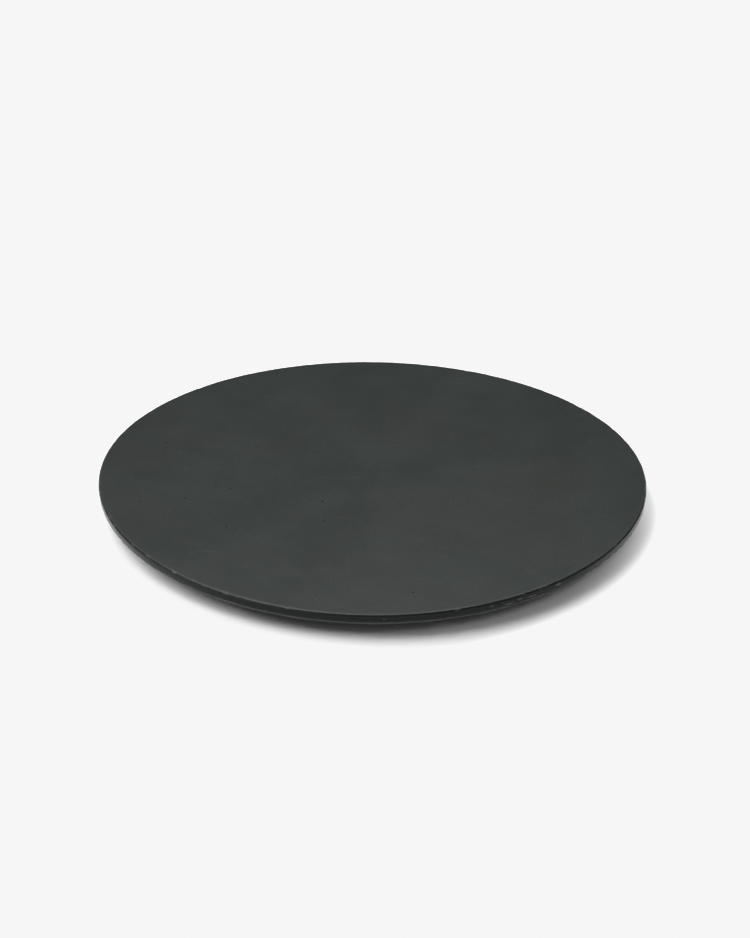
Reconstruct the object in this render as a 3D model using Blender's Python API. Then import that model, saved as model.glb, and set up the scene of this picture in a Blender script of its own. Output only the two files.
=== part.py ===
"""Basalt massage stone: one thin, round, flat piece of honed basalt.

Metres, +Z up. The stone lies on its flat underside, and the origin is the centre of that
face, so z = 0 is the surface that it rests on.

The body is one solid of revolution. Going down its rim from the flat top face there is a
crisp eased arris, an upright edge band that swells out a little, a second crisp arris, and
an undercut that draws in under the stone to the rounded rim of the flat underside.
"""

import math

import bmesh
import bpy

# Overall size
DIAMETER = 0.160            # across the widest place, half-way up the edge band
THICKNESS = 0.008           # from the flat underside to the flat top face

# Rim, from the top down
EDGE_HEIGHT = 0.0026        # from the top face down to the lower arris
EDGE_BULGE = 0.00020        # how far the band swells out past its two arrises
UNDERCUT_INSET = 0.0096     # how far the underside's rim lies inside the lower arris
UNDERCUT_BELLY = 0.0005     # how far the undercut swells out past a straight cone

# Eased corners
TOP_ARRIS_RADIUS = 0.0004
LOWER_ARRIS_RADIUS = 0.00025
FOOT_RADIUS = 0.0025        # where the undercut runs into the underside

# Fineness of the facets
TURN_STEPS = 128            # round the stone
BAND_STEPS = 4              # down the edge band
UNDERCUT_STEPS = 5          # down the undercut
CORNER_STEPS = 4            # round each eased corner

# Finish
BASALT_COLOUR = (0.018, 0.022, 0.020, 1.0)
BASALT_ROUGHNESS = 0.42

MERGE_DISTANCE = 1e-6
SMOOTH_ANGLE = math.radians(25.0)
LARGEST_FILLET_SHARE = 0.9      # of the shorter wall beside a corner


def clear_scene():
    """Take every object out of the scene."""
    for scene_object in list(bpy.data.objects):
        bpy.data.objects.remove(scene_object, do_unlink=True)


def bulged_line(start, end, bulge, steps):
    """Points from start to end on a shallow parabola, bulge high at its middle.

    The bulge goes to the left of the way from start to end, which is outwards for a rim
    that is followed downwards.
    """
    run = (end[0] - start[0], end[1] - start[1])
    length = math.hypot(*run)
    outward = (-run[1] / length, run[0] / length)
    points = []
    for step in range(steps + 1):
        share = step / steps
        rise = bulge * 4.0 * share * (1.0 - share)
        points.append((
            start[0] + run[0] * share + outward[0] * rise,
            start[1] + run[1] * share + outward[1] * rise,
        ))
    return points


def eased_corner(before, corner, after, radius, steps):
    """Points on the arc that rounds the corner between two straight walls."""
    to_before = (before[0] - corner[0], before[1] - corner[1])
    to_after = (after[0] - corner[0], after[1] - corner[1])
    length_before = math.hypot(*to_before)
    length_after = math.hypot(*to_after)
    unit_before = (to_before[0] / length_before, to_before[1] / length_before)
    unit_after = (to_after[0] / length_after, to_after[1] / length_after)

    cosine = unit_before[0] * unit_after[0] + unit_before[1] * unit_after[1]
    half_angle = math.acos(cosine) / 2.0
    largest_setback = LARGEST_FILLET_SHARE * min(length_before, length_after)
    setback = min(radius / math.tan(half_angle), largest_setback)
    radius = setback * math.tan(half_angle)

    bisector = (unit_before[0] + unit_after[0], unit_before[1] + unit_after[1])
    bisector_length = math.hypot(*bisector)
    centre_distance = radius / math.sin(half_angle)
    centre = (
        corner[0] + bisector[0] / bisector_length * centre_distance,
        corner[1] + bisector[1] / bisector_length * centre_distance,
    )
    first = (corner[0] + unit_before[0] * setback, corner[1] + unit_before[1] * setback)
    last = (corner[0] + unit_after[0] * setback, corner[1] + unit_after[1] * setback)
    first_angle = math.atan2(first[1] - centre[1], first[0] - centre[0])
    last_angle = math.atan2(last[1] - centre[1], last[0] - centre[0])
    sweep = (last_angle - first_angle + math.pi) % (2.0 * math.pi) - math.pi
    return [
        (
            centre[0] + radius * math.cos(first_angle + sweep * step / steps),
            centre[1] + radius * math.sin(first_angle + sweep * step / steps),
        )
        for step in range(steps + 1)
    ]


def rim_profile():
    """The half section as (radius, height) points, from the top centre to the bottom one."""
    arris_radius = DIAMETER / 2.0 - EDGE_BULGE
    lower_arris_height = THICKNESS - EDGE_HEIGHT
    foot_rim_radius = arris_radius - UNDERCUT_INSET

    top_centre = (0.0, THICKNESS)
    bottom_centre = (0.0, 0.0)
    band = bulged_line(
        (arris_radius, THICKNESS), (arris_radius, lower_arris_height), EDGE_BULGE, BAND_STEPS)
    undercut = bulged_line(
        (arris_radius, lower_arris_height), (foot_rim_radius, 0.0), UNDERCUT_BELLY,
        UNDERCUT_STEPS)

    profile = [top_centre]
    profile += eased_corner(top_centre, band[0], band[1], TOP_ARRIS_RADIUS, CORNER_STEPS)
    profile += band[1:-1]
    profile += eased_corner(
        band[-2], band[-1], undercut[1], LOWER_ARRIS_RADIUS, CORNER_STEPS)
    profile += undercut[1:-1]
    profile += eased_corner(
        undercut[-2], undercut[-1], bottom_centre, FOOT_RADIUS, CORNER_STEPS)
    profile.append(bottom_centre)
    return profile


def turned_mesh(name, profile):
    """Spin a half section once round the Z axis into one closed mesh."""
    shape = bmesh.new()
    corners = [shape.verts.new((radius, 0.0, height)) for radius, height in profile]
    edges = [shape.edges.new(pair) for pair in zip(corners, corners[1:])]
    bmesh.ops.spin(
        shape, geom=corners + edges, cent=(0.0, 0.0, 0.0), axis=(0.0, 0.0, 1.0),
        angle=2.0 * math.pi, steps=TURN_STEPS, use_merge=True)
    bmesh.ops.remove_doubles(shape, verts=shape.verts, dist=MERGE_DISTANCE)
    bmesh.ops.recalc_face_normals(shape, faces=shape.faces)
    mesh = bpy.data.meshes.new(name)
    shape.to_mesh(mesh)
    shape.free()
    mesh.shade_smooth()
    mesh.set_sharp_from_angle(angle=SMOOTH_ANGLE)
    return mesh


def honed_basalt():
    """Dark greenish-grey fine-grained stone, ground flat but not polished."""
    material = bpy.data.materials.new("honed_basalt")
    material.use_nodes = True
    shader = material.node_tree.nodes["Principled BSDF"]
    shader.inputs["Base Color"].default_value = BASALT_COLOUR
    shader.inputs["Roughness"].default_value = BASALT_ROUGHNESS
    shader.inputs["Metallic"].default_value = 0.0
    return material


def stone_disc():
    """The stone itself, the only piece that the object has."""
    mesh = turned_mesh("stone_disc", rim_profile())
    mesh.materials.append(honed_basalt())
    stone = bpy.data.objects.new("stone_disc", mesh)
    bpy.context.scene.collection.objects.link(stone)
    return stone


clear_scene()
stone_disc()
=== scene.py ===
# %% [markdown]
# # A honed basalt massage stone
#
# The real thing is one piece of basalt: a thin round disc, sawn and ground from a slab, with
# a flat honed face on top, a narrow side band, and an undercut that draws in to the flat
# underside. It is warmed in water and laid on the back or the belly. Nothing on it opens,
# turns or comes off, so the whole model is one surface, and the work lies in its rim and in
# its finish.

# %% Open the measured frame
import math

import bpy
import numpy as np
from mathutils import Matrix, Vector


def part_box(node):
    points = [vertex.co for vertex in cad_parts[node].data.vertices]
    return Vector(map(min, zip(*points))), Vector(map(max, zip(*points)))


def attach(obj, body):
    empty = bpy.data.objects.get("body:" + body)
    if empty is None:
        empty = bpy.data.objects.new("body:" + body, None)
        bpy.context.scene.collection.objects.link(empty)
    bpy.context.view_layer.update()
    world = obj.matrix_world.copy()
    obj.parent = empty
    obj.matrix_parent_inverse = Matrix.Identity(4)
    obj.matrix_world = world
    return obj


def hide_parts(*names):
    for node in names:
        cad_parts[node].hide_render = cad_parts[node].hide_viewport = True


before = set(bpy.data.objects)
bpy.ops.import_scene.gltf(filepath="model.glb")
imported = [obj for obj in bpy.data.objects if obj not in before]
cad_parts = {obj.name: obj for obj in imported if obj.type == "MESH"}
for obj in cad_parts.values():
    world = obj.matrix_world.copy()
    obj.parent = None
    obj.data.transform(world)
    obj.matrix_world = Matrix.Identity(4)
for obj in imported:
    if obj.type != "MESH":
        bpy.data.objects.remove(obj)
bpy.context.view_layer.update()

# %% [markdown]
# ## Sizes
#
# The solid model already fixes how wide and how thick the stone is, so those two sizes are
# read from it and never typed again. The rim's own sizes follow, in metres, as a stone
# mason would mark them on the section. Everything in this file stays in the same frame as
# the solid: +Z up, with the origin in the middle of the flat underside.

# %% Read the overall sizes and set out the rim
MM = 0.001

low_corner, high_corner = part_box("stone_disc")
RADIUS = (high_corner.x - low_corner.x) / 2.0
THICKNESS = high_corner.z - low_corner.z

EDGE_HEIGHT = 2.6 * MM          # side band, from the top face down to the lower arris
EDGE_BULGE = 0.20 * MM          # how far the band swells out past its two arrises
UNDERCUT_INSET = 9.6 * MM       # how far the underside's rim lies inside the lower arris
UNDERCUT_BELLY = 0.5 * MM       # how far the undercut swells out past a straight cone
TOP_ARRIS_RADIUS = 0.4 * MM
LOWER_ARRIS_RADIUS = 0.25 * MM
FOOT_RADIUS = 2.5 * MM          # where the undercut runs into the underside

print(f"disc {2 * RADIUS / MM:.1f} mm across and {THICKNESS / MM:.1f} mm thick")

# %% [markdown]
# ## The section of the rim
#
# A turned or ground disc is the same section carried once round its axis. The section could
# be drawn by hand point by point, but a mason thinks of it as straight walls with eased
# corners between them, and so does this cell: `bulged_wall` gives a wall that swells a
# little, and `eased_corner` gives the small arc that takes the sharpness off an arris.
# Light catches exactly those arcs, so their points stand closest together.

# %% Walls and eased corners of the section
def bulged_wall(start, end, bulge, count):
    """Points from start to end. Each is start plus its share of the run, pushed out square
    to the run by bulge times 4 s (1 - s), a parabola that is highest half-way."""
    start, end = np.array(start), np.array(end)
    run = end - start
    outward = np.array([-run[1], run[0]]) / np.hypot(*run)
    share = np.linspace(0.0, 1.0, count)[:, None]
    return start + run * share + outward * bulge * 4.0 * share * (1.0 - share)


def leaning_band(start, end, bulge, count):
    """Points down the side band. It swells by bulge times 27/4 s (1 - s) squared, a curve that
    is highest a third of the way down, so its upper part leans back from the arris."""
    start, end = np.array(start), np.array(end)
    share = np.linspace(0.0, 1.0, count)[:, None]
    outward = np.array([1.0, 0.0])
    return start + (end - start) * share + outward * bulge * 6.75 * share * (1.0 - share) ** 2


def eased_corner(before, corner, after, radius, count):
    """Points on the arc that touches both walls of a corner. Its centre lies on the line
    that halves the corner, at radius / sin(half the angle) from it."""
    before, corner, after = (np.array(point) for point in (before, corner, after))
    toward_before = (before - corner) / np.hypot(*(before - corner))
    toward_after = (after - corner) / np.hypot(*(after - corner))
    half_angle = math.acos(float(toward_before @ toward_after)) / 2.0
    middle = toward_before + toward_after
    centre = corner + middle / np.hypot(*middle) * radius / math.sin(half_angle)
    setback = radius / math.tan(half_angle)
    first = corner + toward_before * setback - centre
    last = corner + toward_after * setback - centre
    first_angle = math.atan2(first[1], first[0])
    sweep = math.atan2(last[1], last[0]) - first_angle
    sweep = (sweep + math.pi) % (2.0 * math.pi) - math.pi
    angle = first_angle + sweep * np.linspace(0.0, 1.0, count)
    return centre + radius * np.stack([np.cos(angle), np.sin(angle)], axis=1)


trial_arc = eased_corner((0.0, 1.0), (1.0, 1.0), (1.0, 0.0), 0.5, 3)
print("a square corner eased by one half passes through", trial_arc.round(3).tolist())

# %% Join the walls into one section, from the top face round to the underside
ARRIS_RING = RADIUS - EDGE_BULGE
LOWER_ARRIS_HEIGHT = THICKNESS - EDGE_HEIGHT
FOOT_RING = ARRIS_RING - UNDERCUT_INSET
FINE_REACH = 6.0 * MM                   # how far the fine mesh reaches in on each flat face
FACE_EDGE = ARRIS_RING - FINE_REACH
FOOT_EDGE = FOOT_RING - FINE_REACH

BAND_POINTS = 21
UNDERCUT_POINTS = 17
TOP_ARRIS_POINTS = 12
LOWER_ARRIS_POINTS = 6
FOOT_POINTS = 9
FACE_RIM_POINTS = 13
FOOT_RIM_POINTS = 5

band = leaning_band(
    (ARRIS_RING, THICKNESS), (ARRIS_RING, LOWER_ARRIS_HEIGHT), EDGE_BULGE, BAND_POINTS)
undercut = bulged_wall(
    (ARRIS_RING, LOWER_ARRIS_HEIGHT), (FOOT_RING, 0.0), UNDERCUT_BELLY, UNDERCUT_POINTS)

# A curved wall meets its corner in the direction of its own nearest points.
top_arris = eased_corner(
    (0.0, THICKNESS), band[0], band[3], TOP_ARRIS_RADIUS, TOP_ARRIS_POINTS)
lower_arris = eased_corner(
    band[-2], band[-1], undercut[1], LOWER_ARRIS_RADIUS, LOWER_ARRIS_POINTS)
foot = eased_corner(undercut[-4], undercut[-1], (0.0, 0.0), FOOT_RADIUS, FOOT_POINTS)

face_rim = bulged_wall((FACE_EDGE, THICKNESS), top_arris[0], 0.0, FACE_RIM_POINTS)[:-1]
band_wall = band[(band[:, 1] < top_arris[-1, 1]) & (band[:, 1] > lower_arris[0, 1])]
undercut_wall = undercut[
    (undercut[:, 1] < lower_arris[-1, 1]) & (undercut[:, 1] > foot[0, 1])]
foot_rim = bulged_wall(foot[-1], (FOOT_EDGE, 0.0), 0.0, FOOT_RIM_POINTS)[1:]

section = np.vstack(
    [face_rim, top_arris, band_wall, lower_arris, undercut_wall, foot, foot_rim])
section_step = np.hypot(*np.diff(section, axis=0).T)
section_run = np.concatenate([[0.0], np.cumsum(section_step)])
print(f"section of {len(section)} points, {section_run[-1] / MM:.1f} mm long,",
      f"finest step {section_step.min() / MM:.3f} mm")

# %% [markdown]
# ## Carrying the section round
#
# A full-width grid of the section times the turn gives a fine rim, but towards the middle of
# the two flat faces the same columns would crowd into needles. So the flat faces are ringed
# separately: each band of rings has half the columns of the band outside it, and the last
# ring closes on one point. Where the column count halves, a row of five-sided faces joins
# the two. Everything is an array: a ring is a row of angles times a row of radii.

# %% Rings, full and halving
COLUMNS = 1024
FACE_LEVELS = (0.80, 0.56, 0.33, 0.15, 0.05)   # where each halving band ends, of RADIUS
RINGS_PER_LEVEL = (9, 9, 8, 6, 4)


def full_rings(points):
    """Angle, radius and height arrays, one row for each section point and one column for
    each step of the turn: every row is the same circle of angles."""
    turn = np.arange(COLUMNS) * 2.0 * math.pi / COLUMNS
    angle = np.broadcast_to(turn, (len(points), COLUMNS))
    radius = np.broadcast_to(points[:, :1], angle.shape)
    height = np.broadcast_to(points[:, 1:], angle.shape)
    return angle.ravel(), radius.ravel(), height.ravel()


def grid_faces(first, rows, columns):
    """Quads between neighbouring rows of a closed grid whose first vertex is `first`."""
    row, column = np.meshgrid(np.arange(rows - 1), np.arange(columns), indexing="ij")
    right = (column + 1) % columns
    corners = [
        row * columns + column, (row + 1) * columns + column,
        (row + 1) * columns + right, row * columns + right]
    return first + np.stack(corners, axis=-1).reshape(-1, 4)


def halving_faces(outer_first, outer_columns, inner_first):
    """Five-sided faces from a ring to the ring inside it, which has half the columns."""
    inner_columns = outer_columns // 2
    inner = np.arange(inner_columns)
    inner_next = (inner + 1) % inner_columns
    corners = [
        inner_first + inner, outer_first + 2 * inner, outer_first + 2 * inner + 1,
        outer_first + 2 * inner_next, inner_first + inner_next]
    return np.stack(corners, axis=-1)


def flat_middle(outer_first, first, edge_radius, height):
    """The rings that fill a flat face inside the ring that starts at vertex `outer_first`.

    Returns the new vertices' angle, radius and height, and the faces, all wound the way
    that faces up. The last vertex is the middle of the face."""
    angles, radii, faces = [], [], []
    columns, ring_first, start = COLUMNS, outer_first, edge_radius
    for level, rings in zip(FACE_LEVELS, RINGS_PER_LEVEL):
        columns //= 2
        stop = level * RADIUS
        ring_radii = np.linspace(start, stop, rings + 1)[1:]
        turn = np.arange(columns) * 2.0 * math.pi / columns
        angles.append(np.tile(turn, rings))
        radii.append(np.repeat(ring_radii, columns))
        faces.append(halving_faces(ring_first, columns * 2, first))
        faces.append(grid_faces(first, rings, columns)[:, ::-1])
        ring_first = first + (rings - 1) * columns
        first += rings * columns
        start = stop
    around = np.arange(columns)
    faces.append(np.stack(
        [np.full(columns, first), ring_first + around, ring_first + (around + 1) % columns],
        axis=-1))
    angles.append(np.zeros(1))
    radii.append(np.zeros(1))
    angle, radius = np.concatenate(angles), np.concatenate(radii)
    return (angle, radius, np.full(len(angle), height)), faces


print("columns from the rim inwards:",
      [COLUMNS // 2 ** halvings for halvings in range(len(FACE_LEVELS) + 1)])

# %% Put the rim and the two middles together
rim_angle, rim_radius, rim_height = full_rings(section)
rim_count = len(rim_angle)
last_ring = rim_count - COLUMNS

face_middle, face_faces = flat_middle(0, rim_count, FACE_EDGE, THICKNESS)
foot_first = rim_count + len(face_middle[0])
foot_middle, foot_faces = flat_middle(last_ring, foot_first, FOOT_EDGE, 0.0)

angle = np.concatenate([rim_angle, face_middle[0], foot_middle[0]])
radius = np.concatenate([rim_radius, face_middle[1], foot_middle[1]])
height = np.concatenate([rim_height, face_middle[2], foot_middle[2]])
run = np.concatenate([
    np.repeat(section_run, COLUMNS),
    face_middle[1] - FACE_EDGE,
    section_run[-1] + FOOT_EDGE - foot_middle[1]])

faces = [grid_faces(0, len(section), COLUMNS)]
faces += face_faces
faces += [corners[:, ::-1] for corners in foot_faces]
print(f"{len(angle)} vertices and {sum(len(part) for part in faces)} faces before shaping")

# %% [markdown]
# ## An outline that is not quite a circle
#
# A disc ground by hand against a stop is never truly round. This one is a little wider one
# way than the other and has three faint lobes, each under a millimetre. Three cosine waves
# round the turn are enough for that, and they move the rim and the faces alike, in
# proportion to how far out a point lies, so nothing shears.

# %% Let the outline wander
OUTLINE_WAVES = (               # waves round the turn, height, direction of a crest
    (2, 0.37 * MM, -14.0),
    (3, 0.50 * MM, 27.0),
    (4, 0.16 * MM, -1.0),
)


def outline_offset(turn):
    """The sum of height times cos(waves times (angle - crest)) over the outline's waves."""
    return sum(
        wave_height * np.cos(waves * (turn - math.radians(crest)))
        for waves, wave_height, crest in OUTLINE_WAVES)


radius = radius + outline_offset(angle) * radius / RADIUS
points = np.stack([radius * np.cos(angle), radius * np.sin(angle), height], axis=1)
print("outline wanders from",
      f"{outline_offset(angle[:COLUMNS]).min() / MM:+.2f} to",
      f"{outline_offset(angle[:COLUMNS]).max() / MM:+.2f} mm")

# %% [markdown]
# ## Which way is out
#
# Dents, waves and chips all push the surface in or out along its own normal. On a turned
# shape the normal comes from the section: it is the section's direction turned by a right
# angle, in the plane of that column. Taking it from the section keeps it smooth over the
# small arcs, where a normal averaged from faces would be noisy.

# %% Outward normals from the section
section_slope = np.gradient(section, axis=0)
section_normal = np.stack([-section_slope[:, 1], section_slope[:, 0]], axis=1)
section_normal /= np.linalg.norm(section_normal, axis=1, keepdims=True)

flat_up = np.tile([0.0, 1.0], (len(face_middle[0]), 1))
flat_down = np.tile([0.0, -1.0], (len(foot_middle[0]), 1))
slant = np.vstack([np.repeat(section_normal, COLUMNS, axis=0), flat_up, flat_down])
normals = np.stack(
    [slant[:, 0] * np.cos(angle), slant[:, 0] * np.sin(angle), slant[:, 1]], axis=1)
print("normals on the top face point", normals[0].round(3),
      "and below", normals[last_ring].round(3))

# %% [markdown]
# ## Random fields that repeat exactly
#
# Stone needs irregularity, but the file has to give the same stone each time it is run. A
# sum of a few plane waves with random directions and phases, drawn from a numbered seed,
# does both: it is smooth, it has one chosen wavelength, it needs no lookup table and it
# works on a whole array of points at once.

# %% A smooth random field
def ripple(at, wavelength, seed, waves=24):
    """The sum of `waves` sines of one wavelength, each running in a random direction with
    a random phase, scaled so that its usual height is about one."""
    draw = np.random.default_rng(seed)
    direction = draw.normal(size=(waves, 3))
    direction /= np.linalg.norm(direction, axis=1, keepdims=True)
    phase = draw.uniform(0.0, 2.0 * math.pi, waves)
    total = np.zeros(len(at))
    for heading, shift in zip(direction, phase):
        total += np.sin(at @ heading * (2.0 * math.pi / wavelength) + shift)
    return total * math.sqrt(2.0 / waves)


trial_field = ripple(points, 10.0 * MM, 1)
print(f"a trial field runs from {trial_field.min():.2f} to {trial_field.max():.2f},",
      f"its usual height {trial_field.std():.2f}")

# %% [markdown]
# ## Ground faces and worked edges
#
# Honing leaves a face flat to a few hundredths of a millimetre, with a very slow swell where
# the stone met the grit unevenly. The side band is worked more roughly and the undercut
# more roughly still, so their waves are shorter and higher. The two arrises wander too:
# they were eased by hand with a rubbing block, and that is what breaks up the bright line
# along them.

# %% Press the waves into the surface
ARRIS_RUN = section_run[len(face_rim) + len(top_arris) // 2]
FACE_TURN_RUN = section_run[len(face_rim) + 1]      # where the face starts to turn over
LOWER_ARRIS_RUN = section_run[len(face_rim) + len(top_arris) + len(band_wall) + 3]
FOOT_RUN = section_run[-len(foot_rim) - 4]


def near(centre, reach):
    """One at a place along the section, falling as a bell over `reach` to each side."""
    return np.exp(-((run - centre) / reach) ** 2)


def between(start, stop, blend):
    """One between two places along the section, with soft ends `blend` wide."""
    rise = np.clip((run - start) / blend + 0.5, 0.0, 1.0)
    fall = np.clip((stop - run) / blend + 0.5, 0.0, 1.0)
    return rise * rise * (3.0 - 2.0 * rise) * fall * fall * (3.0 - 2.0 * fall)


on_top_arris = near(ARRIS_RUN, 0.35 * MM)
on_lower_arris = near(LOWER_ARRIS_RUN, 0.35 * MM)
on_band = between(ARRIS_RUN, LOWER_ARRIS_RUN, 0.3 * MM)
on_undercut = between(LOWER_ARRIS_RUN, FOOT_RUN, 0.6 * MM)
on_face = between(-1.0, ARRIS_RUN - 0.3 * MM, 0.3 * MM)

swell = on_face * (
    0.004 * MM * ripple(points, 38.0 * MM, 11) + 0.0012 * MM * ripple(points, 9.0 * MM, 12))
tooling = on_band * (
    0.012 * MM * ripple(points, 7.0 * MM, 13) + 0.006 * MM * ripple(points, 1.9 * MM, 14))
hewing = on_undercut * (
    0.045 * MM * ripple(points, 11.0 * MM, 15) + 0.018 * MM * ripple(points, 2.6 * MM, 16))
easing = (on_top_arris + on_lower_arris) * (
    0.022 * MM * ripple(points, 6.0 * MM, 17) + 0.016 * MM * ripple(points, 2.0 * MM, 18))

points = points + normals * (swell + tooling + hewing - np.abs(easing))[:, None]
print(f"face swell {np.ptp(swell) / MM:.3f} mm, band {np.ptp(tooling) / MM:.3f} mm,",
      f"undercut {np.ptp(hewing) / MM:.3f} mm")

# %% [markdown]
# ## Chips along the arrises
#
# Basalt is hard and brittle, so its arrises lose small shell-shaped flakes. Each chip is a
# shallow bowl, longer along the rim than across it, with a ragged border. The larger ones
# are listed one by one, most of them on the near side, where the eye finds them; a scatter of
# tiny nicks comes from a numbered seed. Every chip also marks its vertices in an attribute,
# so that the finish can show the fresh, paler break.

# %% Cut the chips
# Each chip: direction in degrees and place along the section, then its half length round
# the rim, half width across it and depth, in millimetres.
CHIPS = (
    (-50.0, ARRIS_RUN + 1.0 * MM, 1.20, 0.34, 0.12),
    (-57.0, ARRIS_RUN + 1.5 * MM, 1.50, 0.20, 0.08),
    (-59.5, ARRIS_RUN + 1.2 * MM, 0.90, 0.22, 0.08),
    (-62.0, ARRIS_RUN + 1.7 * MM, 1.60, 0.18, 0.07),
    (-66.0, ARRIS_RUN + 1.1 * MM, 0.80, 0.16, 0.05),
    (-87.5, ARRIS_RUN + 1.1 * MM, 0.60, 0.18, 0.05),
    (-118.0, LOWER_ARRIS_RUN, 1.30, 0.40, 0.12),
    (-133.0, ARRIS_RUN, 0.80, 0.30, 0.08),
    (-21.0, LOWER_ARRIS_RUN, 1.70, 0.45, 0.13),
    (37.0, ARRIS_RUN, 1.20, 0.45, 0.14),
    (112.0, LOWER_ARRIS_RUN, 1.90, 0.60, 0.16),
    (168.0, ARRIS_RUN, 1.00, 0.36, 0.10),
    (205.0, FOOT_RUN, 2.60, 1.00, 0.22),
    (318.0, FOOT_RUN, 1.90, 0.80, 0.18),
)
NICKS_PER_ARRIS = 34
NICK_MARK = 0.38                # nicks are older and smaller than the chips, so less pale


def bowl(direction, along, half_length, half_width, depth, ragged):
    """A shallow bowl on the rim. Its cover is one minus the squared distance from its middle,
    measured in half lengths round the rim and half widths along the section, with `ragged`
    added to that distance, and is zero outside. It goes in by `depth` times the cover to the
    power one and a half. Returns how far in it goes, and the cover."""
    turn = (angle - math.radians(direction) + math.pi) % (2.0 * math.pi) - math.pi
    distance = (turn * RADIUS / half_length) ** 2 + ((run - along) / half_width) ** 2
    cover = np.clip(1.0 - distance - ragged, 0.0, 1.0)
    cover[radius < 0.5 * RADIUS] = 0.0
    return depth * np.sqrt(cover) * cover, cover


border = 0.28 * ripple(points, 0.9 * MM, 21)
broken_depth = np.zeros(len(points))
broken = np.zeros(len(points))
for direction, along, half_length, half_width, depth in CHIPS:
    dent, cover = bowl(
        direction, along, half_length * MM, half_width * MM, depth * MM, border)
    broken_depth = np.maximum(broken_depth, dent)
    broken = np.maximum(broken, np.clip(cover * 3.0, 0.0, 1.0))

scatter = np.random.default_rng(22)
for arris in (ARRIS_RUN, LOWER_ARRIS_RUN):
    for direction in scatter.uniform(0.0, 360.0, NICKS_PER_ARRIS):
        half_length = scatter.uniform(0.5, 1.3) * MM
        dent, cover = bowl(
            direction, arris, half_length, 0.30 * half_length + 0.1 * MM,
            0.07 * half_length, border)
        broken_depth = np.maximum(broken_depth, dent)
        broken = np.maximum(broken, np.clip(cover * 2.0, 0.0, NICK_MARK))

facets = 0.12 * ripple(points, 0.7 * MM, 23) * broken_depth
points = points - normals * (broken_depth + facets)[:, None]
points[:, 2] = np.maximum(points[:, 2], 0.0)      # the underside is ground flat last of all
print(f"{len(CHIPS)} chips and {2 * NICKS_PER_ARRIS} nicks mark",
      f"{int((broken > 0).sum())} vertices, deepest {broken_depth.max() / MM:.2f} mm")

# %% [markdown]
# ## From arrays to a mesh
#
# Blender takes a mesh as plain lists of points and faces. The extra numbers that the finish
# needs, one per point, go in as named attributes: how broken the surface is, how strong the
# painted highlight along an arris is there, and whether it belongs to the side band or to
# the undercut.
# Attributes travel with the mesh, so the finish stays right however the stone is moved.

# %% Build the stone
def stone_mesh(name, at, face_arrays, marks):
    """A mesh from a point array and arrays of faces, with one attribute per entry of marks."""
    mesh = bpy.data.meshes.new(name)
    polygons = [corners for part in face_arrays for corners in part.tolist()]
    mesh.from_pydata(at.tolist(), [], polygons)
    for mark, values in marks.items():
        layer = mesh.attributes.new(mark, "FLOAT", "POINT")
        layer.data.foreach_set("value", values.astype(np.float32))
    mesh.validate()
    mesh.shade_smooth()
    return mesh


# The arris mark paints a highlight: a paler line along both arrises, where light catches the
# eased edges.
HIGHLIGHT_MIDDLE = math.radians(-105.0)        # where the painted highlight on the top arris is strongest
HIGHLIGHT_REACH = math.radians(13.0)

from_middle = (angle - HIGHLIGHT_MIDDLE + math.pi) % (2.0 * math.pi) - math.pi
painted_highlight_strength = 0.28 + 0.34 * np.exp(-(from_middle / HIGHLIGHT_REACH) ** 2)
painted_highlight_strength *= 1.0 + 0.30 * np.clip(ripple(points, 2.4 * MM, 24), -1.0, 1.0)
marks = {
    "broken": broken,
    "arris": np.clip(
        painted_highlight_strength * near(FACE_TURN_RUN, 0.16 * MM) + 1.2 * on_lower_arris, 0.0, 1.0),
    "side": np.clip(on_band, 0.0, 1.0),
    "undercut": np.clip(on_undercut, 0.0, 1.0),
}
stone = bpy.data.objects.new("honed_stone", stone_mesh("honed_stone", points, faces, marks))
bpy.context.scene.collection.objects.link(stone)

triangles = sum(len(polygon.vertices) - 2 for polygon in stone.data.polygons)
print(f"{stone.name}: {len(stone.data.vertices)} vertices, {triangles} triangles")

# %% [markdown]
# ## The finish: honed basalt
#
# Basalt is almost black, with a green cast from its pyroxene, so much of what the eye sees
# on a honed face is a soft sheen and not the stone's own colour. Up close it is a tight
# felt of crystals: slow clouds a couple of centimetres wide, grain well under a millimetre,
# stray pale feldspar and dark olivine specks, and a few gas pits opened by the saw, painted
# near-black as painted shade. An image could show all that, but only for one stone at one
# size. Noise and cell patterns on Object coordinates give it in three dimensions, so the
# specks run on over the arris as they do in solid rock. The side band and the undercut get
# a darker colour than the face as painted shade, a paler line along the arrises is a painted
# highlight, and where the mesh is marked as broken the stone turns paler.

# %% Small helpers for node trees
def add_node(tree, kind, inputs=None, **settings):
    """A new node with its settings made, and its inputs set or linked by name or number."""
    node = tree.nodes.new(kind)
    for setting, value in settings.items():
        setattr(node, setting, value)
    for socket, value in (inputs or {}).items():
        if isinstance(value, bpy.types.NodeSocket):
            tree.links.new(value, node.inputs[socket])
        else:
            node.inputs[socket].default_value = value
    return node


def blend_colour(tree, share, first, second, how="MIX"):
    """The colour `first` turned into `second` by share, from 0 to 1."""
    node = add_node(
        tree, "ShaderNodeMix", {0: share, 6: first, 7: second}, data_type="RGBA",
        blend_type=how)
    return node.outputs[2]


def rescale(tree, value, low, high, to_low=0.0, to_high=1.0):
    """Value carried from low..high to to_low..to_high, smoothly, and held at the ends."""
    node = add_node(
        tree, "ShaderNodeMapRange",
        {"Value": value, "From Min": low, "From Max": high,
         "To Min": to_low, "To Max": to_high},
        interpolation_type="SMOOTHSTEP")
    return node.outputs["Result"]


def calculate(tree, operation, first, second):
    """One arithmetic step on two numbers or sockets."""
    return add_node(
        tree, "ShaderNodeMath", {0: first, 1: second}, operation=operation).outputs["Value"]


def noise(tree, place, per_metre, detail=3.0, roughness=0.6):
    """Cloudy noise, about `per_metre` lumps to the metre."""
    node = add_node(
        tree, "ShaderNodeTexNoise",
        {"Vector": place, "Scale": per_metre, "Detail": detail, "Roughness": roughness})
    return node.outputs["Fac"]


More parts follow.
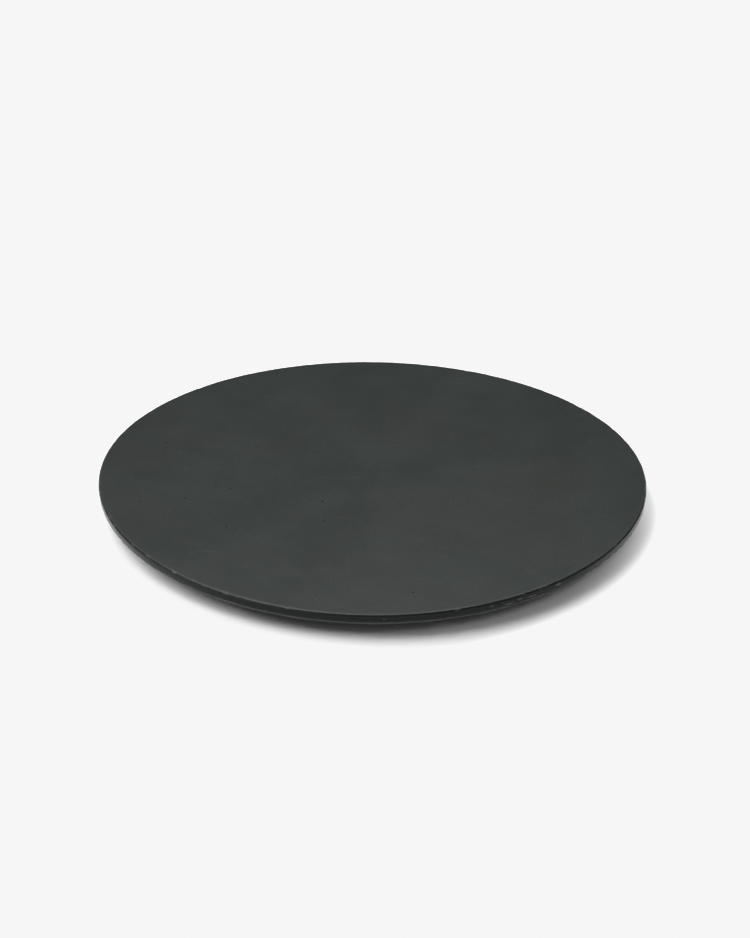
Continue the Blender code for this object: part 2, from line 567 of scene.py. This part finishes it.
def specks(tree, place, per_metre, size, rarity):
    """Round specks: one in each cell of a cell pattern, reaching `size` of a cell out from
    its middle, kept only in the cells whose random number is above `rarity`."""
    cells = add_node(tree, "ShaderNodeTexVoronoi", {"Vector": place, "Scale": per_metre})
    chosen = add_node(tree, "ShaderNodeSeparateColor", {"Color": cells.outputs["Color"]})
    inside = rescale(tree, cells.outputs["Distance"], size * 0.55, size, 1.0, 0.0)
    kept = calculate(tree, "GREATER_THAN", chosen.outputs["Red"], rarity)
    return calculate(tree, "MULTIPLY", inside, kept)


def mark(tree, name):
    """The value of one of the mesh's own attributes."""
    return add_node(tree, "ShaderNodeAttribute", attribute_name=name).outputs["Fac"]


print("the finish reads these marks from the mesh:", sorted(marks))

# %% Colours and measures of the finish
DARK_BASALT = (0.0200, 0.0242, 0.0223, 1.0)
LIGHT_BASALT = (0.0244, 0.0290, 0.0267, 1.0)
BROWN_CAST = (0.0246, 0.0262, 0.0236, 1.0)
FELDSPAR = (0.085, 0.092, 0.084, 1.0)
OLIVINE = (0.008, 0.011, 0.008, 1.0)
FRESH_BREAK = (0.105, 0.098, 0.076, 1.0)
# Painted highlight: the paler colour laid along both arrises.
ARRIS_PAINTED_HIGHLIGHT = (0.072, 0.079, 0.073, 1.0)
# Painted shade: the near-black colour put into the pits.
PAINTED_PIT_SHADE = (0.003, 0.004, 0.003, 1.0)
# Painted shade: the side band and the undercut get a darker colour than the face, for the shade
# that falls on them.
SIDE_PAINTED_SHADE = (0.0104, 0.0128, 0.0118, 1.0)
SHEEN = 0.16                    # specular level: honed, so much duller than a polish
SIDE_SHEEN = 0.085              # and the side band reflects less again

# Lumps, specks or scratches to the metre
CLOUDS_PER_METRE = 48.0
CAST_PER_METRE = 30.0
PATCHES_PER_METRE = 75.0
SCRATCHES_PER_METRE = 90.0
PITS_PER_METRE = 150.0
DARK_SPECKS_PER_METRE = 430.0
PALE_SPECKS_PER_METRE = 620.0
GRAIN_PER_METRE = 1500.0
BREAK_PER_METRE = 2600.0

# How fully each colour covers what lies under it
SIDE_SHADE_COVER = 0.85
PALE_COVER = 0.55
DARK_COVER = 0.70
ARRIS_HIGHLIGHT_COVER = 0.80
BREAK_COVER = 0.80

# Roughness of the honed face, and what the rest adds to it or takes from it
SMOOTHEST_FACE = 0.32
ROUGHEST_FACE = 0.36
SIDE_SMOOTHER = 0.12
UNDERCUT_ROUGHER = 0.08
BREAK_ROUGHER = 0.30
PIT_ROUGHER = 0.40

# Height of the fine relief, in millimetres
GRAIN_RELIEF = 0.010
SCRATCH_RELIEF = -0.012
BREAK_RELIEF = 0.06
PIT_RELIEF = -0.12
HONE_DIRECTION = math.radians(24.0)
HONE_STRETCH = 26.0             # how much longer than wide a scratch is

print(f"clouds {1000.0 / CLOUDS_PER_METRE:.0f} mm wide, grain {1000.0 / GRAIN_PER_METRE:.2f} mm,",
      f"pits at most one to a cell of {1000.0 / PITS_PER_METRE:.1f} mm")


# %% Honed basalt
def honed_basalt():
    """The one material of the stone, from slow clouds down to grain, pits and breaks."""
    material = bpy.data.materials.new("honed_basalt")
    material.use_nodes = True
    tree = material.node_tree
    shader = tree.nodes["Principled BSDF"]
    place = add_node(tree, "ShaderNodeTexCoord").outputs["Object"]

    # The arris mark carries a painted highlight along both arrises.
    broken_here, arris_highlight_here = mark(tree, "broken"), mark(tree, "arris")
    side_here, undercut_here = mark(tree, "side"), mark(tree, "undercut")

    clouds = rescale(tree, noise(tree, place, CLOUDS_PER_METRE, 5.0, 0.62), 0.34, 0.66)
    cast = rescale(tree, noise(tree, place, CAST_PER_METRE, 2.0, 0.5), 0.50, 0.72, 0.0, 0.6)
    grain = noise(tree, place, GRAIN_PER_METRE, 4.0, 0.72)
    pale = specks(tree, place, PALE_SPECKS_PER_METRE, size=0.16, rarity=0.86)
    dark = specks(tree, place, DARK_SPECKS_PER_METRE, size=0.17, rarity=0.84)
    # The pits' near-black colour is painted shade in the hollows; their roughness and bump are
    # real relief.
    pits = specks(tree, place, PITS_PER_METRE, size=0.055, rarity=0.72)

    colour = blend_colour(tree, clouds, DARK_BASALT, LIGHT_BASALT)
    colour = blend_colour(tree, cast, colour, BROWN_CAST)
    shade = rescale(tree, grain, 0.30, 0.70, 0.80, 1.20)
    shade_colour = add_node(
        tree, "ShaderNodeCombineColor", {"Red": shade, "Green": shade, "Blue": shade})
    colour = blend_colour(tree, 1.0, colour, shade_colour.outputs["Color"], "MULTIPLY")
    # Painted shade: the side band and the undercut are blended towards a darker colour than the
    # face.
    painted_side_shade = calculate(tree, "MAXIMUM", side_here, undercut_here)
    for share, cover, paint in (
            (painted_side_shade, SIDE_SHADE_COVER, SIDE_PAINTED_SHADE), (pale, PALE_COVER, FELDSPAR),
            (dark, DARK_COVER, OLIVINE), (arris_highlight_here, ARRIS_HIGHLIGHT_COVER, ARRIS_PAINTED_HIGHLIGHT),
            (broken_here, BREAK_COVER, FRESH_BREAK), (pits, 1.0, PAINTED_PIT_SHADE)):
        colour = blend_colour(tree, calculate(tree, "MULTIPLY", share, cover), colour, paint)
    tree.links.new(colour, shader.inputs["Base Color"])

    rough = rescale(
        tree, noise(tree, place, PATCHES_PER_METRE, 4.0, 0.6), 0.30, 0.70,
        SMOOTHEST_FACE, ROUGHEST_FACE)
    for share, change in (
            (side_here, -SIDE_SMOOTHER), (undercut_here, UNDERCUT_ROUGHER),
            (broken_here, BREAK_ROUGHER), (pits, PIT_ROUGHER)):
        rough = calculate(tree, "ADD", rough, calculate(tree, "MULTIPLY", share, change))
    tree.links.new(rough, shader.inputs["Roughness"])
    sheen = rescale(tree, side_here, 0.0, 1.0, SHEEN, SIDE_SHEEN)
    tree.links.new(sheen, shader.inputs["Specular IOR Level"])

    lengthwise = add_node(
        tree, "ShaderNodeMapping",
        {"Vector": place, "Rotation": (0.0, 0.0, HONE_DIRECTION),
         "Scale": (1.0, HONE_STRETCH, 1.0)})
    scratches = rescale(
        tree, noise(tree, lengthwise.outputs["Vector"], SCRATCHES_PER_METRE, 2.0, 0.5),
        0.66, 0.76)
    crystals = calculate(
        tree, "MULTIPLY", noise(tree, place, BREAK_PER_METRE, 3.0, 0.7), broken_here)
    relief = calculate(tree, "MULTIPLY", grain, GRAIN_RELIEF)
    for share, depth in (
            (scratches, SCRATCH_RELIEF), (crystals, BREAK_RELIEF), (pits, PIT_RELIEF)):
        relief = calculate(tree, "ADD", relief, calculate(tree, "MULTIPLY", share, depth))
    bump = add_node(tree, "ShaderNodeBump", {"Height": relief, "Distance": MM})
    tree.links.new(bump.outputs["Normal"], shader.inputs["Normal"])
    return material


stone.data.materials.append(honed_basalt())
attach(stone, "root")
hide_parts("stone_disc")
print("finish:", stone.data.materials[0].name, "with",
      len(stone.data.materials[0].node_tree.nodes), "nodes")

# %% [markdown]
# ## The table and the light
#
# The stone lies on a seamless pale sweep, lit so strongly that the paper burns out to one
# even white, while the stone itself stays dark. A display curve that holds everything above
# that white gives the same burnt-out paper. It also narrows the shadow, because only its
# deep part falls below the white.
#
# Five lamps do the lighting. A wide softbox stands high on the left and lights both the
# stone and the paper. Three more are flagged off the stone, so they light the paper only,
# and the stone still throws its shadow in them: a strong one low behind, a very wide faint
# one in front and a small faint one in front on the right. A panel behind lights the stone
# alone and puts the sheen on its face.

# %% Sweep, wall and room
PURE_WHITE = (1.0, 1.0, 1.0, 1.0)
SWEEP_WHITE = (0.90, 0.90, 0.90, 1.0)
BURNT_WHITE = 0.9216            # everything brighter than this shows as this
ROOM_LIGHT = 0.04
SWEEP_HALF = 6.0
PAPER_GAP = 0.02 * MM           # keeps the paper and the underside from sharing one plane
WALL_RADIUS = 7.0
WALL_FOOT = -0.6                # the wall's lowest and highest rows, as angles in radians
WALL_TOP = 1.5
WALL_COLUMNS = 48
WALL_ROWS = 22


def plain_material(name, colour, glow=0.0):
    """A matt colour, or a plain glow if glow is above zero."""
    material = bpy.data.materials.new(name)
    material.use_nodes = True
    tree = material.node_tree
    tree.nodes.clear()
    output = add_node(tree, "ShaderNodeOutputMaterial")
    if glow > 0.0:
        shade = add_node(tree, "ShaderNodeEmission", {"Color": colour, "Strength": glow})
        tree.links.new(shade.outputs["Emission"], output.inputs["Surface"])
    else:
        shade = add_node(tree, "ShaderNodeBsdfDiffuse", {"Color": colour})
        tree.links.new(shade.outputs["BSDF"], output.inputs["Surface"])
    return material


sweep_mesh = bpy.data.meshes.new("paper_sweep")
sweep_mesh.from_pydata(
    [(-SWEEP_HALF, -SWEEP_HALF, -PAPER_GAP), (SWEEP_HALF, -SWEEP_HALF, -PAPER_GAP),
     (SWEEP_HALF, SWEEP_HALF, -PAPER_GAP), (-SWEEP_HALF, SWEEP_HALF, -PAPER_GAP)],
    [], [(0, 1, 2, 3)])
sweep = bpy.data.objects.new("paper_sweep", sweep_mesh)
sweep_mesh.materials.append(plain_material("paper_white", SWEEP_WHITE))

wall_across, wall_up = np.meshgrid(
    np.linspace(0.0, 2.0 * math.pi, WALL_COLUMNS + 1)[:-1],
    np.linspace(WALL_FOOT, WALL_TOP, WALL_ROWS), indexing="xy")
wall_points = WALL_RADIUS * np.stack([
    np.cos(wall_up) * np.cos(wall_across), np.cos(wall_up) * np.sin(wall_across),
    np.sin(wall_up)], axis=-1).reshape(-1, 3)
wall_mesh = bpy.data.meshes.new("pale_wall")
wall_mesh.from_pydata(
    wall_points.tolist(), [], grid_faces(0, WALL_ROWS, WALL_COLUMNS).tolist())
wall = bpy.data.objects.new("pale_wall", wall_mesh)
wall_mesh.materials.append(plain_material("wall_glow", PURE_WHITE, BURNT_WHITE))
# The wall shows the held white behind the sweep, and it lights and shades nothing.
wall.visible_diffuse = False
wall.visible_glossy = False
wall.visible_transmission = False
wall.visible_shadow = False

for backdrop in (sweep, wall):
    bpy.context.scene.collection.objects.link(backdrop)

room = bpy.data.worlds.new("dim_room")
room.use_nodes = True
room.node_tree.nodes["Background"].inputs["Color"].default_value = PURE_WHITE
room.node_tree.nodes["Background"].inputs["Strength"].default_value = ROOM_LIGHT
bpy.context.scene.world = room

view = bpy.context.scene.view_settings
view.view_transform = "Standard"
view.use_curve_mapping = True
view.curve_mapping.extend = "HORIZONTAL"
for curve in view.curve_mapping.curves:
    curve.points[0].handle_type = "VECTOR"
    curve.points[-1].handle_type = "VECTOR"
view.curve_mapping.curves[3].points[-1].location = (BURNT_WHITE, BURNT_WHITE)
view.curve_mapping.update()
print("sweep", 2 * SWEEP_HALF, "m across, room light", ROOM_LIGHT, "white held at", BURNT_WHITE)


# %% Lamps
PANEL_TINT = (0.965, 1.0, 0.98)         # a trace of green


def aim(lamp, toward):
    """Turn a lamp or camera so that its -Z axis points along `toward`."""
    lamp.rotation_mode = "QUATERNION"
    lamp.rotation_quaternion = Vector(toward).to_track_quat("-Z", "Y")


def softbox(name, turn_degrees, height_degrees, spread_degrees, strength, lights=None):
    """A wide, soft light from one side: a sun lamp with a wide disc. The turn is counted
    from +X towards +Y. `lights` names the only things that it falls on, if it is flagged."""
    turn, rise = math.radians(turn_degrees), math.radians(height_degrees)
    light = bpy.data.lights.new(name, "SUN")
    light.angle = math.radians(spread_degrees)
    light.energy = strength
    lamp = bpy.data.objects.new(name, light)
    aim(lamp, (-math.cos(rise) * math.cos(turn), -math.cos(rise) * math.sin(turn),
               -math.sin(rise)))
    bpy.context.scene.collection.objects.link(lamp)
    lamp.light_linking.receiver_collection = lights
    return lamp


def panel(name, at, target, width, depth, watts, lights=None):
    """A flat panel light at one place that faces another."""
    light = bpy.data.lights.new(name, "AREA")
    light.shape = "RECTANGLE"
    light.size, light.size_y = width, depth
    light.energy = watts
    light.color = PANEL_TINT
    lamp = bpy.data.objects.new(name, light)
    lamp.location = at
    aim(lamp, [goal - start for goal, start in zip(target, at)])
    bpy.context.scene.collection.objects.link(lamp)
    lamp.light_linking.receiver_collection = lights
    return lamp


stone_alone = bpy.data.collections.new("stone_alone")
stone_alone.objects.link(stone)
sweep_alone = bpy.data.collections.new("sweep_alone")
sweep_alone.objects.link(sweep)

softbox("softbox_left", 185.0, 52.0, 52.0, 3.10)
softbox("softbox_low_behind", 84.0, 10.0, 90.0, 8.60, sweep_alone)
softbox("softbox_front", 270.0, 45.0, 137.0, 0.64, sweep_alone)
softbox("softbox_front_right", 304.0, 47.0, 19.0, 0.37, sweep_alone)
panel("panel_behind", at=(-0.08, 0.85, 1.05), target=(0.0, 0.0, THICKNESS),
      width=0.8, depth=0.3, watts=9.0, lights=stone_alone)

# %% [markdown]
# ## The camera
#
# A long lens from about four and a half disc widths away, looking down at 27.5 degrees,
# keeps the ellipse of the face honest. The camera is placed from the stone's own sizes: the
# middle of the top face, back along the line of sight, with a hair of sideways and upward
# offset and a half-degree lean, as a hand-set tripod has.

# %% Place the camera
LOOK_DOWN = math.radians(27.5)
LEAN = math.radians(0.55)
LENS_MM = 95.95
BACK = 9.2 * RADIUS
SIDEWAYS = 0.010 * RADIUS
UPWARD = 0.024 * RADIUS

sight = np.array([0.0, math.cos(LOOK_DOWN), -math.sin(LOOK_DOWN)])
camera_up = np.array([0.0, math.sin(LOOK_DOWN), math.cos(LOOK_DOWN)])
camera_right = np.array([1.0, 0.0, 0.0])
camera_at = (np.array([0.0, 0.0, THICKNESS]) - BACK * sight
             + SIDEWAYS * camera_right + UPWARD * camera_up)

lens = bpy.data.cameras.new("camera")
lens.lens = LENS_MM
lens.sensor_width = 36.0
camera = bpy.data.objects.new("camera", lens)
camera.location = camera_at
camera.rotation_mode = "XYZ"
camera.rotation_euler = (math.pi / 2.0 - LOOK_DOWN, 0.0, 0.0)
camera.rotation_euler.rotate_axis("Z", LEAN)
bpy.context.scene.collection.objects.link(camera)
bpy.context.scene.camera = camera
print("camera at", [round(float(value), 4) for value in camera_at], "lens", LENS_MM, "mm")
